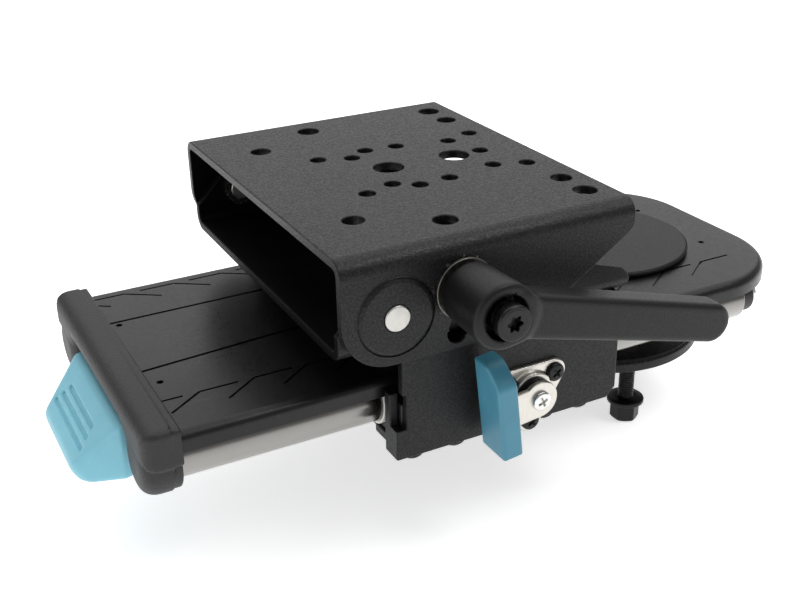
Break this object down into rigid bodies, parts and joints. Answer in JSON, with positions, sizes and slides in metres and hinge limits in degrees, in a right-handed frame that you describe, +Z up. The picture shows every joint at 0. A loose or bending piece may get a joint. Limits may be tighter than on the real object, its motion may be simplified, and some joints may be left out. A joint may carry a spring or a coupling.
{
  "type": "pivoting slide arm mount",
  "caption": "Swivel-based sliding arm with a clevis head that tilts, clamps and carries a drilled mounting plate.",
  "frame": {"origin": "on the swivel axis, at the underside of the round base plate", "axes": "+X along the arm away from the head, +Z up out of the head's drilled top face, +Y away from the clamp handle"},
  "size_m": [0.2647, 0.1608, 0.1074],
  "materials": {
    "powder_coat": "fine-textured black powder coat",
    "soft_cap": "soft dark grey moulded plastic",
    "black_plastic": "black moulded plastic",
    "blue_plastic": "satin light blue moulded plastic",
    "stainless": "ground stainless steel",
    "zinc": "bright zinc plate",
    "black_oxide": "black oxide steel",
    "handle_coat": "textured black powder coat on die-cast zinc",
    "nylon": "white low-friction plastic",
    "bronze": "sintered bronze"
  },
  "bodies": {
    "base": {"base_plate": "powder_coat", "base_bolts": "black_oxide", "pivot_post": "stainless", "post_screw": "zinc", "brake_drum": "zinc", "thrust_washer": "nylon", "hub_disc": "powder_coat"},
    "arm": {"arm_cover": "powder_coat", "hub_housing": "powder_coat", "hub_bushing": "bronze", "front_block": "black_plastic", "end_block": "black_plastic", "end_cap": "soft_cap", "near_rod": "stainless", "far_rod": "stainless", "rod_screws": "zinc", "spring_bracket": "zinc", "release_spring": "zinc"},
    "swivel_release": {"pivot_handle": "blue_plastic", "pull_rod": "zinc", "brake_shoe": "black_oxide"},
    "carriage": {"carriage_bracket": "powder_coat", "near_bearing_block": "black_plastic", "far_bearing_block": "black_plastic", "rod_bushings": "nylon", "bearing_screws": "black_oxide", "clevis_base": "powder_coat", "clevis_screws": "zinc", "clevis_nuts": "zinc", "near_pivot_pin": "stainless", "far_pivot_pin": "stainless", "pin_washers": "zinc", "clamp_stud": "zinc", "clamp_washer": "zinc", "lock_flange": "zinc", "lock_flange_screws": "black_oxide", "lock_spring": "zinc"},
    "head": {"head_channel": "powder_coat"},
    "clamp": {"clamp_insert": "zinc", "clamp_screw": "black_oxide", "handle_spring": "zinc"},
    "clamp_grip": {"clamp_handle": "handle_coat"},
    "plunger": {"lock_plunger": "zinc"},
    "lever": {"lever_shaft": "black_oxide", "lever_plate": "zinc", "lever_screw": "zinc", "slide_lever": "blue_plastic"}
  },
  "joints": [
    {"name": "arm_swivel", "type": "hinge", "parent": "base", "child": "arm", "pos_m": [0, 0, 0.02], "axis": [0, 0, 1], "continuous": true},
    {"name": "swivel_release_pull", "type": "slide", "parent": "arm", "child": "swivel_release", "axis": [-1, 0, 0], "range_m": [0, 0.008], "stiffness_N_per_m": 900, "springref_m": -0.004, "deforming": ["release_spring"]},
    {"name": "carriage_slide", "type": "slide", "parent": "arm", "child": "carriage", "axis": [1, 0, 0], "range_m": [-0.06, 0.066]},
    {"name": "head_tilt", "type": "hinge", "parent": "carriage", "child": "head", "pos_m": [-0.1221, 0, 0.0621], "axis": [0, -1, 0], "range_deg": [-12, 36]},
    {"name": "clamp_turn", "type": "hinge", "parent": "carriage", "child": "clamp", "pos_m": [-0.0998, -0.078, 0.0665], "axis": [0, -1, 0], "range_deg": [-5, 110]},
    {"name": "clamp_lift", "type": "slide", "parent": "clamp", "child": "clamp_grip", "axis": [0, -1, 0], "range_m": [0, 0.004], "stiffness_N_per_m": 1500, "springref_m": -0.002, "deforming": ["handle_spring"]},
    {"name": "lever_turn", "type": "hinge", "parent": "carriage", "child": "lever", "pos_m": [-0.0737, -0.069, 0.0228], "axis": [0, -1, 0], "range_deg": [0, 25], "stiffness_Nm_per_rad": 0.4, "springref_deg": -11.46},
    {"name": "plunger_slide", "type": "slide", "parent": "carriage", "child": "plunger", "axis": [0, -1, 0], "range_m": [0, 0.0021], "deforming": ["lock_spring"]}
  ],
  "couplings": [
    {"joint": "plunger_slide", "follows": "lever_turn", "m_per_rad": 0.0046}
  ]
}
